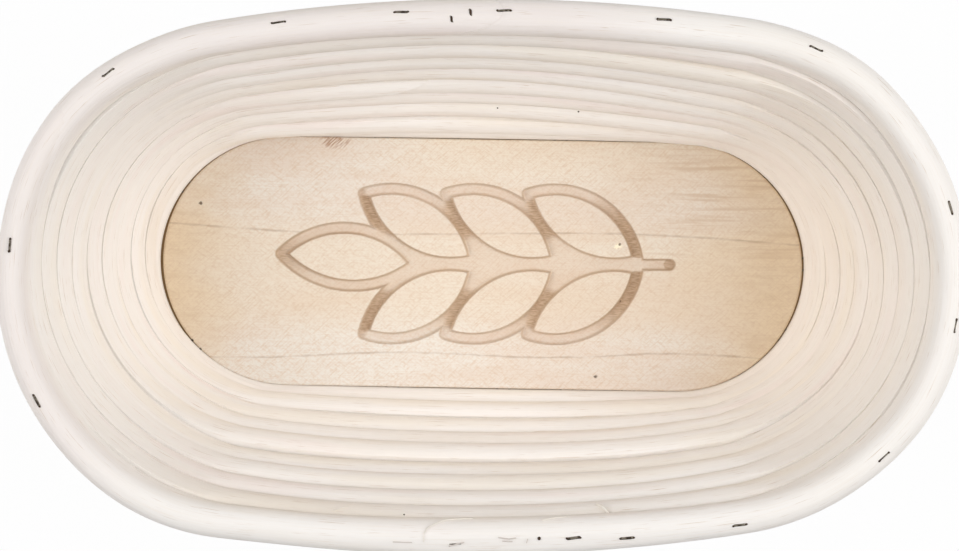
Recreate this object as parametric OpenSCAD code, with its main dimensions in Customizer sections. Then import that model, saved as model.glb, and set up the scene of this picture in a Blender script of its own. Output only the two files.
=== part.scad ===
// Oval proofing basket. Round cane is wound in rising turns about a carved wooden board,
// and wire staples hold each turn to the one below it.
// Millimetres, +Z up, long axis along X. The origin is on the table, under the middle of the board.

/* [Basket] */
// Length over the rim
basket_l = 283; // [270:1:300]
// Width over the rim, at the middle of the long sides
basket_w = 162; // [152:1:172]
// How much further the middle of a long side of the rim stands out than its round ends
side_bow = 5.1; // [1:0.1:6]

/* [Base board] */
// Length of the board
board_l = 200; // [190:1:210]
// Width of the board, which is also the diameter of its round ends
board_w = 78; // [70:1:86]
// Thickness of the board
board_t = 6.5; // [6:0.5:9]
// Chamfer along the board's edges
board_edge = 0.8; // [0.3:0.1:1.5]
// Gap between the board's edge and the first turn of cane
board_gap = 0.6; // [0.4:0.05:0.9]
// How far the board is turned in the basket. The turns of cane even it out, up to the rim.
board_turn = -1.3; // [-3:0.1:3]

/* [Cane] */
// Diameter of the cane
cane_d = 9.8; // [8:0.1:10.5]
// Number of turns from the board to the rim
turns = 10; // [7:1:12]
// Height of the first turn over the table
foot_gap = 0.3; // [0.1:0.1:0.6]
// Length of the slanted cut where two lengths of cane meet
scarf_l = 24; // [14:1:26]
// Gap left in such a splice
scarf_gap = 0.6; // [0.3:0.1:1]
// Thickness of the pared tips at the two ends of the winding
tip_t = 1.2; // [0.8:0.1:2]

/* [Staples] */
// Width of a staple's crown
staple_w = 4.5; // [3.5:0.1:5]
// Length of its legs
staple_leg = 13.5; // [11:0.5:14]
// Width of the crowns of the two staples across the rim's splice
splice_w = 3; // [2.5:0.1:4]
// Length of their legs
splice_leg = 7; // [5:0.5:8]
// Width of the wire
wire_w = 1; // [0.7:0.1:1.3]
// Thickness of the wire
wire_t = 0.7; // [0.5:0.1:0.9]
// How far the crowns on the rim and on the first turn stand out of the cane
crown_proud = 0.15; // [0:0.05:0.3]
// How far the crowns between two turns stand out of the cane's flats
crown_lift = 0.25; // [0:0.05:0.3]

/* [Carved ear] */
// How far the ear is turned on the board
ear_turn = 0.7; // [0:0.1:2]
// Number of pairs of leaves
leaf_pairs = 3; // [2:1:3]
// Length of a side leaf along the middle of its groove
leaf_l = 40.8; // [36:0.2:43]
// How far the outer side of a leaf bows out
leaf_bow_out = 9.8; // [7:0.1:11]
// How far the side towards the stem bows out
leaf_bow_in = 8.6; // [6:0.1:9]
// Angle between a leaf and the stem
leaf_angle = 31.9; // [28:0.1:35]
// Distance from one pair of leaves to the next
leaf_pitch = 25.6; // [24:0.1:28]
// Distance of a leaf's foot from the middle of the stem
leaf_lift = 0.45; // [0.2:0.05:1]
// Length of the leaf at the tip of the ear
tip_leaf_l = 42; // [36:0.5:44]
// How far each side of that leaf bows out
tip_leaf_bow = 9; // [6:0.1:10]
// Tilt of that leaf against the stem
tip_leaf_tilt = 3; // [0:0.5:6]
// Distance of the stem's end from the middle of the board
stem_end = 58.5; // [54:0.5:62]
// Length of bare stem behind the last pair of leaves
stem_tail = 9.9; // [8:0.1:12]
// Length of stem between the first pair's feet and the foot of the tip leaf
stem_tip = 18.5; // [16:0.5:22]
// Width of the groove
groove_w = 3.6; // [2.5:0.1:4.5]
// Depth of the groove
groove_d = 2; // [1:0.1:3]

/* [Hidden] */
$fn = 64;

// A place along the winding is a number of turns. Whole numbers lie at the right end of the back
// side, and the winding runs clockwise as seen from above.
// Sides of the cane's section, and the steps in which it follows one end and one long side
cane_sides = 8;
end_steps = 14;
side_steps = 10;
steps = 2 * (end_steps + side_steps);
// Stretch of each turn in which the cane climbs onto the turn below
climb_from = 0.54;
climb_share = 0.21;
// Places of the splices, as shares of a turn, and the turn that holds the first one
wall_splice_turn = floor(turns / 2);
wall_splice_at = 0.8646;
rim_splice_at = 0.8883;
// Places of the staples on the rim, as shares of a turn
rim_staple_at = [
  0.0295, 0.1175, 0.1665, 0.2285, 0.295, 0.3395, 0.3605, 0.407, 0.4785,
  0.5545, 0.5945, 0.661, 0.745, 0.817, 0.865, 0.905, 0.9675
];
// Places of the two staples across its splice, and how far each of them leans inwards
splice_staple_at = [[0.8845, 25], [0.892, 0]];
// How far the crowns of those two are turned from lying along the cane
splice_turned = 70;

cane_r = cane_d / 2;
// Distance from the middle of the section to the flats that face the next turns
flat_r = cane_r * cos(180 / cane_sides);
// Half width of such a flat, and half width of the section where it is pared at a height
flat_half = cane_r * sin(180 / cane_sides);
function pared_half(along) = flat_r - max(0, abs(along) - flat_half);
// The first turn bows just enough to keep its long sides off the board
first_bow = 0.3;
// Half length and half width of the winding's middle line, in the first turn and in the rim
first_a = board_l / 2 + board_gap + cane_r;
first_b = board_w / 2 + board_gap + cane_r + first_bow;
rim_a = basket_l / 2 - cane_r;
rim_b = basket_w / 2 - cane_r;
step_a = (rim_a - first_a) / (turns - 1);
step_b = (rim_b - first_b) / (turns - 1);
// Each turn lies on the one below, so its rise follows from the cane and the step outwards
rise = sqrt(pow(cane_d, 2) - pow(min(step_a, step_b), 2));
lean = atan2(rise, (step_a + step_b) / 2);
first_z = foot_gap + cane_r;

// The plan of a turn is an oval of four arcs: two round ends and two slightly bowed sides.
// Level 0 is the first turn, and the levels between whole numbers lie on a climb.
function bow(level) = first_bow + (side_bow - first_bow) * (1 - pow(1 - level / (turns - 1), 4));
function half_l(level) = first_a + step_a * level;
function half_w(level) = first_b + step_b * level;
function end_r(level) = half_w(level) - bow(level);
function end_x(level) = half_l(level) - end_r(level);
function side_y(level) = (pow(end_x(level), 2) - pow(bow(level), 2)) / (2 * bow(level));
function side_r(level) = half_w(level) + side_y(level);
function side_angle(level) = atan2(end_x(level), side_y(level));
// Length that one turn would have at the pace of its long sides
function side_run(level) = 2 * side_r(level) * side_angle(level) * PI / 180 * steps / side_steps;

// How far a turn is turned about the middle of the basket: as the board below, not at all at the rim
function twist(level) = board_turn * (1 - level / (turns - 1));
function turned(spot, angle) = [
  spot[0] * cos(angle) - spot[1] * sin(angle),
  spot[0] * sin(angle) + spot[1] * cos(angle)
];

// Middle, radius and direction of the arc at a place
function share(place) = place - floor(place);
function arc_at(place, level) =
  let (
    step = share(place) * steps,
    side = side_angle(level),
    end_turn = (180 - 2 * side) / end_steps,
    side_turn = 2 * side / side_steps,
    half = step < steps / 2 ? 0 : 1,
    part = step - half * steps / 2,
    sign = 1 - 2 * half,
    away = twist(level)
  )
  part < end_steps
    ? [
        turned([sign * end_x(level), 0], away),
        end_r(level),
        90 - side - end_turn * part - 180 * half + away
      ]
    : [
        turned([0, sign * side_y(level)], away),
        side_r(level),
        side - 90 - side_turn * (part - end_steps) - 180 * half + away
      ];

// Height of the winding at a place, in levels, and how much of the next turn's room is left
function climb(place) =
  let (part = min(1, max(0, (share(place) - climb_from) / climb_share)))
  floor(place) + part * part * (3 - 2 * part);
function level_at(place) = min(turns - 1, max(0, climb(place)));
function room_above(place) = min(1, climb(place + 1) - level_at(place));
function room_below(place) = min(1, level_at(place) - climb(place - 1));

// Point of the cane at a place: along leads towards the next turn, across at right angles to it
function cane_point(place, along, across) =
  let (
    level = level_at(place),
    arc = arc_at(place, level),
    out = along * cos(lean) + across * sin(lean),
    up = along * sin(lean) - across * cos(lean)
  )
  [
    arc[0][0] + (arc[1] + out) * cos(arc[2]),
    arc[0][1] + (arc[1] + out) * sin(arc[2]),
    first_z + rise * level + up
  ];

// One section of the cane. Where a climb leaves less room it is pared flat, and a scarf slants it.
function cane_ring(place, scarf) =
  let (
    highest = flat_r - (1 - room_above(place)) * cane_d,
    lowest = (1 - room_below(place)) * cane_d - flat_r,
    slant = scarf / 2 / flat_r / side_run(level_at(place))
  )
  [
    for (side = [0 : cane_sides - 1])
      let (
        turned = (side + 0.5) * 360 / cane_sides,
        along = min(highest, max(lowest, cane_r * cos(turned))),
        across = min(pared_half(along), cane_r * abs(sin(turned))) * sign(sin(turned))
      )
      cane_point(place + slant * along, along, across)
  ];

// Share of a climb at which it has reached a part of its height
function climb_share_at(part) = 0.5 - sin(asin(1 - 2 * part) / 3);
tip_room = 1 - (2 * flat_r - tip_t) / cane_d;
winding_start = climb_from + climb_share * climb_share_at(tip_room) - 1;
winding_end = turns - 1 + climb_from + climb_share * climb_share_at(1 - tip_room);
wall_splice = wall_splice_turn - 2 + wall_splice_at;
rim_splice = turns - 2 + rim_splice_at;
scarf_gap_share = scarf_gap / side_run(0);

// Places of the sections of a length of cane, with none too close to its ends
end_room = 1.1;
function cane_places(from, to) =
  concat(
    [from],
    [for (step = [ceil(from * steps + end_room) : floor(to * steps - end_room)]) step / steps],
    [to]
  );

// Least gap between one turn and the next, from the facing corners of one to the edges of the other
function edge_gap(point, from, to) =
  let (edge = to - from, part = min(1, max(0, (point - from) * edge / (edge * edge))))
  norm(point - from - part * edge);
function turn_gap(place) =
  let (
    below = cane_ring(place, 0),
    above = [for (step = [-1 : 1]) cane_ring(place + 1 + step / steps, 0)],
    facing = cane_sides / 2
  )
  min([
    for (corner = [0, cane_sides - 1], edge = [facing - 1, facing], step = [0, 1])
      edge_gap(below[corner], above[step][edge], above[step + 1][edge])
  ]);
measured_places = [
  for (place = cane_places(winding_start, winding_end - 1 - 1 / steps)) turn_gap(place)
];
echo(str("Least gap between the turns: ", min(measured_places), " mm"));

// A length of cane, swept along the winding
module cane_length(from, to, scarf_from, scarf_to) {
  places = cane_places(from, to);
  last = len(places) - 1;
  points = [
    for (i = [0 : last])
      each cane_ring(places[i], i == 0 ? scarf_from : i == last ? scarf_to : 0)
  ];
  skin = [
    for (i = [0 : last - 1], side = [0 : cane_sides - 1])
      let (
        a = i * cane_sides + side,
        b = i * cane_sides + (side + 1) % cane_sides
      )
      each [[a, b, b + cane_sides], [a, b + cane_sides, a + cane_sides]]
  ];
  start_cap = [for (side = [1 : cane_sides - 2]) [0, side + 1, side]];
  end_cap = [for (side = [1 : cane_sides - 2]) [0, side, side + 1] + last * cane_sides * [1, 1, 1]];
  polyhedron(points, concat(skin, start_cap, end_cap), convexity = 10);
}

// A wire staple, its crown along X with its top at the origin, its legs down
module staple(crown, leg) {
  half = crown / 2;
  inner = half - wire_t;
  shoulder = wire_t / 2;
  leg_half = [
    [half - shoulder, 0],
    [half, -shoulder],
    [half, wire_t - leg],
    [inner, -leg],
    [inner, -wire_t]
  ];
  other_half = [for (i = [len(leg_half) - 1 : -1 : 0]) [-leg_half[i][0], leg_half[i][1]]];
  rotate([90, 0, 0])
    linear_extrude(wire_w, center = true)
      polygon(concat(leg_half, other_half));
}

// Sets a staple on the cane at a place, driven in along a slope, the crown turned on its legs
module on_cane(place, slope, depth, turned = 0) {
  spot = cane_point(place, depth * cos(slope - lean), -depth * sin(slope - lean));
  direction = arc_at(place, level_at(place))[2];
  translate(spot)
    rotate([slope - 90, 0, direction - 90])
      rotate([0, 0, turned])
        children();
}

// Staple places alternate from turn to turn, so that the legs miss the crowns below
between_staples = [
  for (i = [0 : len(rim_staple_at) - 1])
    let (next = i + 1 < len(rim_staple_at) ? rim_staple_at[i + 1] : rim_staple_at[0] + 1)
    share((rim_staple_at[i] + next) / 2)
];
function staple_shares(turn) = (turns - turn) % 2 == 0 ? rim_staple_at : between_staples;
// Place on a turn, which begins where its climb from the turn below ends
function on_turn(turn, at) = turn - 1 + at - (at > climb_from + climb_share ? 1 : 0);

module turn_staples(turn, depth) {
  for (at = staple_shares(turn))
    on_cane(on_turn(turn, at), lean, depth)
      staple(staple_w, staple_leg);
}

// Half of the board's section, and the board as two round ends with a straight middle
module board_section() {
  half = board_w / 2;
  polygon([
    [0, 0],
    [half - board_edge, 0],
    [half, board_edge],
    [half, board_t - board_edge],
    [half - board_edge, board_t],
    [0, board_t]
  ]);
}

module plain_board() {
  straight = board_l - board_w;
  for (side = [0, 1])
    mirror([side, 0, 0])
      translate([straight / 2, 0, 0])
        rotate([0, 0, -90])
          rotate_extrude(angle = 180)
            board_section();
  rotate([90, 0, 90])
    linear_extrude(straight, center = true) {
      board_section();
      mirror([1, 0]) board_section();
    }
}

// Radius of an arc over a chord, and the leaf between two such arcs from the origin along X
function bowed_r(chord, sag) = (chord * chord / 4 + sag * sag) / (2 * sag);
module leaf(chord, bow_left, bow_right, grow) {
  left_r = bowed_r(chord, bow_left);
  right_r = bowed_r(chord, bow_right);
  intersection() {
    translate([chord / 2, bow_left - left_r]) circle(left_r + grow);
    translate([chord / 2, right_r - bow_right]) circle(right_r + grow);
  }
}

// What a leaf's groove reaches on the outside, and the island that it leaves inside
module leaf_outline(chord, bow_left, bow_right) {
  intersection() {
    leaf(chord, bow_left, bow_right, groove_w / 2);
    translate([chord / 2, 0]) circle((chord + groove_w) / 2);
  }
}

module leaf_island(chord, bow_left, bow_right) {
  leaf(chord, bow_left, bow_right, -groove_w / 2);
}

// The ear of grain lies along the board, its tip to the left
last_foot = stem_end - stem_tail;
first_foot = last_foot - (leaf_pairs - 1) * leaf_pitch;
tip_foot = first_foot - stem_tip;

module at_side_leaves(pairs) {
  for (i = [0 : pairs - 1], side = [0, 1])
    mirror([0, side])
      translate([first_foot + i * leaf_pitch, leaf_lift])
        rotate(180 - leaf_angle)
          children();
}

module at_tip_leaf() {
  translate([tip_foot, 0])
    rotate(180 - tip_leaf_tilt)
      children();
}

// The corner between a leaf, the stem and the next leaf is cut away too
module leaf_web() {
  next_foot = -leaf_pitch * [cos(leaf_angle), sin(leaf_angle)];
  polygon([[0, 0], [leaf_l / 2, -leaf_bow_out], next_foot]);
}

module ear() {
  difference() {
    union() {
      at_side_leaves(leaf_pairs) leaf_outline(leaf_l, leaf_bow_in, leaf_bow_out);
      at_side_leaves(leaf_pairs - 1) leaf_web();
      at_tip_leaf() leaf_outline(tip_leaf_l, tip_leaf_bow, tip_leaf_bow);
      translate([tip_foot, -groove_w / 2]) square([stem_end - tip_foot, groove_w]);
      translate([stem_end, 0]) circle(groove_w / 2);
    }
    at_side_leaves(leaf_pairs) leaf_island(leaf_l, leaf_bow_in, leaf_bow_out);
    at_tip_leaf() leaf_island(tip_leaf_l, tip_leaf_bow, tip_leaf_bow);
  }
}

module base_board() {
  color("burlywood")
    rotate(board_turn)
      difference() {
        plain_board();
        translate([0, 0, board_t - groove_d])
          linear_extrude(groove_d + board_edge)
            rotate(ear_turn) ear();
      }
}

module lower_cane() {
  color("linen") cane_length(winding_start, wall_splice, 0, scarf_l);
}

module upper_cane() {
  color("antiquewhite") cane_length(wall_splice + scarf_gap_share, rim_splice, scarf_l, scarf_l);
}

module rim_cane() {
  color("oldlace") cane_length(rim_splice + scarf_gap_share, winding_end, scarf_l, 0);
}

// The first turn is stapled to the board wherever it lies beside the board's edge
beside_board = 0.1;
thick_enough = 0.6;
module board_staples() {
  color("dimgray")
    for (at = staple_shares(1)) {
      climbed = climb(at);
      if (climbed < beside_board || climbed > thick_enough)
        on_cane(climbed < beside_board ? at : at - 1, 0, cane_r + crown_proud)
          staple(staple_w, staple_leg);
    }
}

module wall_staples(turn) {
  color("dimgray") turn_staples(turn, flat_r + crown_lift);
}

module rim_staples() {
  color("dimgray") turn_staples(turns, cane_r + crown_proud);
}

module splice_staples() {
  color("dimgray")
    for (at = splice_staple_at)
      on_cane(on_turn(turns, at[0]), lean + at[1], cane_r, splice_turned)
        staple(splice_w, splice_leg);
}

base_board();
lower_cane();
upper_cane();
rim_cane();
board_staples();
for (turn = [2 : turns - 1])
  wall_staples(turn);
rim_staples();
splice_staples();
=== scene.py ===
"""Oval proofing basket: wound rattan cane, stapled turn to turn, on a carved wooden board."""

import math

import bpy
import numpy as np
from mathutils import Matrix, Vector


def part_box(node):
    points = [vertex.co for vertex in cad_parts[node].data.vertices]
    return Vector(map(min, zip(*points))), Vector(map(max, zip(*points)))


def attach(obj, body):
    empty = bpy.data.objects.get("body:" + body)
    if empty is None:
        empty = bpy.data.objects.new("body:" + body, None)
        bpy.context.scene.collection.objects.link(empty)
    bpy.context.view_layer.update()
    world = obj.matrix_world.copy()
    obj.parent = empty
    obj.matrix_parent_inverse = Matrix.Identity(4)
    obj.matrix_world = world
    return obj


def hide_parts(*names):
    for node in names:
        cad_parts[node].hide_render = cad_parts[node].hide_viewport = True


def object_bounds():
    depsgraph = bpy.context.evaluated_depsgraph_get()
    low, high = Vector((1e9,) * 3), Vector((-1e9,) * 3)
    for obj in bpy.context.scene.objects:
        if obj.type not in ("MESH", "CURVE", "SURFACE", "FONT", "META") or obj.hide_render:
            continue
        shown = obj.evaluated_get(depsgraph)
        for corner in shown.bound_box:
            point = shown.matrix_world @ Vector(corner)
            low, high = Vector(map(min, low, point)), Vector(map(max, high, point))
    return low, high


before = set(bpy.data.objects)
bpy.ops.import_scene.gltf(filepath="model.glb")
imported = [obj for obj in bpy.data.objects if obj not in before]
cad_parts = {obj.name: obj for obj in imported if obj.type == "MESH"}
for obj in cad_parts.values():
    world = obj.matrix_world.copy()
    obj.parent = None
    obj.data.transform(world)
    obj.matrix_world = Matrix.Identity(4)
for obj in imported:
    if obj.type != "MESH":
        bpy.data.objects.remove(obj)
cad_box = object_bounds()

# Sizes are in metres. Those of whole pieces come from the frame.
MM = 0.001
basket_low, basket_high = (np.array(corner) for corner in cad_box)
board_low, board_high = (np.array(corner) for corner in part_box("base_board"))
BASKET_L, BASKET_W, _ = basket_high - basket_low
BOARD_TOP = board_high[2]

# The board lies a little turned, so its own length and width follow from its box
BOARD_TURN = math.radians(-1.3)
box_l, box_w, _ = board_high - board_low
turn_cos, turn_sin = math.cos(BOARD_TURN), abs(math.sin(BOARD_TURN))
BOARD_L = (box_l * (1 - turn_sin) - box_w * (1 - turn_cos)) / (turn_cos - turn_sin)
BOARD_W = (box_w * turn_cos - box_l * turn_sin) / (turn_cos - turn_sin)

# The winding, as in the solids but for its finer tips, its closer splices and the place of the
# splice in the wall
CANE_D = 9.8 * MM
CANE_R = CANE_D / 2
TURNS = 10
BOARD_GAP = 0.6 * MM
FOOT_GAP = 0.3 * MM
FIRST_BOW = 0.3 * MM
SIDE_BOW = 5.1 * MM
END_STEPS = 14
SIDE_STEPS = 10
STEPS = 2 * (END_STEPS + SIDE_STEPS)
CLIMB_FROM = 0.54
CLIMB_SHARE = 0.21
SCARF_L = 24 * MM
SCARF_GAP = 0.5 * MM
TIP_T = 0.1 * MM
WALL_SPLICE = TURNS // 2 - 2 + 0.8546
RIM_SPLICE = TURNS - 2 + 0.8883
RIM_STAPLES = [
    0.0295, 0.1175, 0.1665, 0.2285, 0.295, 0.3395, 0.3605, 0.407, 0.4785,
    0.5545, 0.5945, 0.661, 0.745, 0.817, 0.865, 0.905, 0.9675,
]
SUNK_STAPLES = (0.407, 0.4785, 0.5545)
SPLICE_STAPLES = [0.8845, 0.892]
# Staples that sit beside the ridge of the rim: how far they lean inwards
LEANING = {0.3605: -0.22, 0.661: -0.2, 0.8845: -0.5, 0.892: -0.12}

FIRST_A = BOARD_L / 2 + BOARD_GAP + CANE_R
FIRST_B = BOARD_W / 2 + BOARD_GAP + CANE_R + FIRST_BOW
STEP_A = (BASKET_L / 2 - CANE_R - FIRST_A) / (TURNS - 1)
STEP_B = (BASKET_W / 2 - CANE_R - FIRST_B) / (TURNS - 1)
RISE = math.sqrt(CANE_D**2 - min(STEP_A, STEP_B) ** 2)
LEAN = math.atan2(RISE, (STEP_A + STEP_B) / 2)
FIRST_Z = FOOT_GAP + CANE_R

# Unevenness of the hand-wound cane: each turn's own place, waves along it, and its thickness
BACK_STRAY = np.array([0, -2.3, -0.1, 0.7, -0.2, 0.2, 0.5, -0.2, 0.15, 0]) * MM
FRONT_STRAY = np.array([0, -0.9, 0.2, 0, -0.6, 1.1, 0, 0.2, 0.2, 0]) * MM
FIRST_TURN_PRESSED = 0.7 * MM
# Share of that unevenness that is missing round the ends
END_EVENNESS = 0.85
# Stretches where the turns lie further in or out: share of a turn, half length as a share of one,
# and millimetres
WALL_BULGES = ((0.02, 0.16, -3.2), (0.26, 0.08, -1.3), (0.48, 0.08, 0.6))
FIRST_BULGES = ((0.585, 0.08, -0.35),)
RIM_BULGES = ((0.05, 0.04, 0.8), (0.2, 0.05, 0.7), (0.53, 0.06, 0.9), (0.715, 0.06, 1.3))
# Share of the wall's bulges that the turns take part in, by level
BULGE_LEVELS = (0, 1, 2, 4, 7, 8, 9)
BULGE_IN_SIDE = (0, 0.15, 1, 1, 1, 0.45, 0)
BULGE_IN_END = (0, 0.15, 0.55, 0.8, 0.5, 0.25, 0)
RIM_THICKER = ((0.95, 0.14, 0.45), (0.385, 0.1, 0.5))
THICKER_INWARDS = 1.4
WAVE_STRAY = 0.5 * MM
THICKNESS_CHANGE = 0.012
# The turns are pressed flat against each other, more so at the round ends. Radius of the faces
# between, in cane radii
PRESSED_SIDE, PRESSED_END = 1.55, 9.0
PRESSED_CHANGE = 0.7
SCARF_STEP = 0.5 * MM
# Both ends of the winding lie smoothly in the turn beside them, thinner towards their tips
TAIL_THINNER = 0.12
DENT_DEPTH = 0.3 * MM
DENT_HALF_L = 3.2 * MM
DENT_HALF_ANGLE = 0.3

# Fineness of the meshes
RINGS_PER_TURN = 320
CANE_SIDES = 24
BOARD_GRID = 0.28 * MM

# Staple wire
STAPLE_W = 4.5 * MM
SPLICE_W = 2.7 * MM
WIRE_W = 1 * MM
WIRE_T = 0.7 * MM
WIRE_SIDES = 10
# Part of that width that a staple has, how far its crown tilts, and its arch in millimetres
WIRE_SHARE = (0.5, 0.95)
CROWN_TILT = (-0.1, 0.1)
CROWN_ARCH = (-0.1, 0.15)
LEG_L = 2.5 * MM
# How far the crowns stand out of the cane
PROUD = (-0.05 * MM, 0.12 * MM)
SUNK = -0.35 * MM
COVERED = -0.6 * MM
SPLICE_TURNED = math.radians(70)

# Holes in the cane: half length, in millimetres, and half width of those torn by the rim's staples
TORN_HALF_L = (0.3, 0.5)
TORN_HALF_W = 0.32 * MM
HOLE_SIDES = 12
# Rings of a hole's thin dome: share of its size, and millimetres above the cane's dented surface
HOLE_DOME = ((1, -0.2), (0.8, 0.12), (0.4, 0.2))
# A hole on the rim, and pin holes in the wall: turn, share of it, and angle on the cane
RIM_HOLE = (0.374, -0.28)
PIN_HOLES = ((3, 0.902, -0.75), (7, 0.9355, -0.6), (3, 0.9395, -0.6), (9, 0.4275, -0.9))

# The carved ear of grain
EAR_TURN = math.radians(0.7)
LEAF_PAIRS = 3
LEAF_L = 40.3 * MM
LEAF_BOW_OUT = 9.4 * MM
LEAF_BOW_IN = 8.6 * MM
LEAF_ANGLE = math.radians(30.8)
LEAF_PITCH = 25.6 * MM
LEAF_LIFT = 1.35 * MM
TIP_LEAF_L = 42 * MM
TIP_LEAF_BOW_FRONT = 8.4 * MM
TIP_LEAF_BOW_BACK = 9.65 * MM
TIP_LEAF_TILT = math.radians(4.1)
STEM_END = 58.5 * MM
STEM_TAIL = 9.9 * MM
STEM_TIP = 18.5 * MM
GROOVE_W = 3.6 * MM
GROOVE_D = 2 * MM
GROOVE_WALL = 1 * MM
CLEARED_UP_TO = (4 * MM, 10 * MM)
GRAIN_BLEND = 1.1 * MM
TIP_FADED, TIP_FADED_R = 0.6, 2.6 * MM
BOARD_EDGE = 0.8 * MM
EDGE_BENDS = np.radians([22.5, 45, 67.5, 90])
# Specks on the board: place and radius in millimetres, and how deep they lie
SPECKS = (
    (-88.4, 17.6, 0.7, 0),
    (36, -34.7, 0.75, 0),
    (42.8, 6.9, 0.6, 0),
    (43.2, -10.9, 0.6, GROOVE_D),
)
# The growth lines' places across the board
UPPER_LINE_Y = 9.5 * MM
LOWER_LINE_Y = -28.5 * MM

chance = np.random.default_rng(7)


def smooth(value, low, high):
    """0 up to low, 1 from high on, smooth between."""
    part = np.clip((value - low) / (high - low), 0, 1)
    return part * part * (3 - 2 * part)


# The winding

def bow(level):
    """How far the long sides of a turn stand out beyond its round ends."""
    return FIRST_BOW + (SIDE_BOW - FIRST_BOW) * (1 - (1 - level / (TURNS - 1)) ** 4)


def oval(level):
    """The four-arc plan of a turn: end centre and radius, side centre and radius, side angle."""
    half_l = FIRST_A + STEP_A * level
    half_w = FIRST_B + STEP_B * level
    end_r = half_w - bow(level)
    end_x = half_l - end_r
    side_y = (end_x**2 - bow(level) ** 2) / (2 * bow(level))
    return end_x, end_r, side_y, half_w + side_y, np.arctan2(end_x, side_y)


def twist(level):
    """How far a turn is turned about the middle: as the board below, not at all at the rim."""
    return BOARD_TURN * (1 - level / (TURNS - 1))


def arc_at(place, level):
    """Centre, radius and direction of the arc at a place, which counts turns, clockwise."""
    end_x, end_r, side_y, side_r, side = oval(level)
    step = (place - np.floor(place)) * STEPS
    half = np.where(step < STEPS / 2, 0, 1)
    sign = 1 - 2 * half
    part = step - half * STEPS / 2
    on_end = part < END_STEPS
    end_turn = (math.pi - 2 * side) / END_STEPS
    side_turn = 2 * side / SIDE_STEPS
    end_direction = math.pi / 2 - side - end_turn * part
    side_direction = side - math.pi / 2 - side_turn * (part - END_STEPS)
    away = twist(level)
    direction = np.where(on_end, end_direction, side_direction) - math.pi * half + away
    plain_x = np.where(on_end, sign * end_x, 0)
    plain_y = np.where(on_end, 0, sign * side_y)
    centre_x = plain_x * np.cos(away) - plain_y * np.sin(away)
    centre_y = plain_x * np.sin(away) + plain_y * np.cos(away)
    return centre_x, centre_y, np.where(on_end, end_r, side_r), direction


def climb(place):
    """Height of the winding, in levels. Each turn climbs in one stretch of the left end."""
    part = np.clip((place - np.floor(place) - CLIMB_FROM) / CLIMB_SHARE, 0, 1)
    return np.floor(place) + part * part * (3 - 2 * part)


def level_at(place):
    return np.clip(climb(place), 0, TURNS - 1)


def side_run(level):
    """Length that one turn would have at the pace of its long sides."""
    _, _, _, side_r, side = oval(level)
    return 2 * side_r * side * STEPS / SIDE_STEPS


def wave_curve(count, lowest, highest):
    """A smooth uneven function of the place, about -1 to 1, that differs from turn to turn."""
    pace = chance.uniform(lowest, highest, count)
    phase = chance.uniform(0, 2 * math.pi, count)

    def curve(place):
        return sum(np.sin(2 * math.pi * pace[i] * place + phase[i]) for i in range(count)) / count

    return curve


wander = wave_curve(6, 0.6, 3.4)
swelling = wave_curve(5, 1.5, 9)


def freedom(level):
    """How freely a turn strays: the first one and the rim keep their places."""
    return np.sin(math.pi * level / (TURNS - 1))


def bulges(place, stretches):
    """Sum of smooth bulges along a turn."""
    total = 0.0
    for middle, half, height in stretches:
        away = np.abs((place - middle + 0.5) % 1 - 0.5) / half
        total = total + height * MM * np.cos(math.pi / 2 * np.clip(away, 0, 1)) ** 2
    return total


def rim_thicker(place):
    """How much thicker than elsewhere the rim's cane is."""
    return bulges(place, RIM_THICKER) * np.clip(level_at(place) - TURNS + 2, 0, 1)


def round_end(direction):
    """0 along the sides, 1 round the ends."""
    return smooth(np.abs(np.cos(direction)), 0.1, 0.7)


def turn_stray(place):
    """How far a turn lies outside its even place. The first one is pressed against the board."""
    level = level_at(place)
    _, _, _, direction = arc_at(place, level)
    at_back = 0.5 + 0.5 * np.sin(direction)
    on_side = 1 - END_EVENNESS * round_end(direction)
    beside = np.sin(direction) ** 2 * np.clip(1 - level, 0, 1)
    back = np.interp(level, range(TURNS), BACK_STRAY)
    front = np.interp(level, range(TURNS), FRONT_STRAY)
    in_side = np.interp(level, BULGE_LEVELS, BULGE_IN_SIDE)
    in_end = np.interp(level, BULGE_LEVELS, BULGE_IN_END)
    in_wall = in_side + (in_end - in_side) * round_end(direction)
    on_rim = np.clip(level - TURNS + 2, 0, 1)
    own_place = (front + (back - front) * at_back) * on_side - FIRST_TURN_PRESSED * beside
    own_place = own_place + in_wall * bulges(place, WALL_BULGES)
    own_place = own_place + on_rim * bulges(place, RIM_BULGES)
    own_place = own_place + np.clip(1 - level, 0, 1) * bulges(place, FIRST_BULGES)
    own_place = own_place - THICKER_INWARDS * rim_thicker(place)
    return own_place + freedom(level) * on_side * WAVE_STRAY * 2 * wander(place)


def cane_point(place, along, across, stray=0.0):
    """Points of the cane: along leads towards the next turn, across at right angles to it."""
    level = level_at(place)
    centre_x, centre_y, radius, direction = arc_at(place, level)
    reach = radius + along * math.cos(LEAN) + across * math.sin(LEAN) + stray
    up = along * math.sin(LEAN) - across * math.cos(LEAN)
    x = centre_x + reach * np.cos(direction)
    y = centre_y + reach * np.sin(direction)
    return np.stack([x, y, FIRST_Z + RISE * level + up], axis=-1)


def climb_part_at(part):
    """Share of a climb at which it has reached a part of its height."""
    return 0.5 - math.sin(math.asin(1 - 2 * part) / 3)


TIP_ROOM = TIP_T / CANE_D
WINDING_START = CLIMB_FROM + CLIMB_SHARE * climb_part_at(TIP_ROOM) - 1
WINDING_END = TURNS - 1 + CLIMB_FROM + CLIMB_SHARE * climb_part_at(1 - TIP_ROOM)


def on_turn(turn, share):
    """Place on a turn, which begins where its climb from the turn below ends."""
    return turn - 1 + share - (1 if share > CLIMB_FROM + CLIMB_SHARE else 0)


# Meshes

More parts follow.
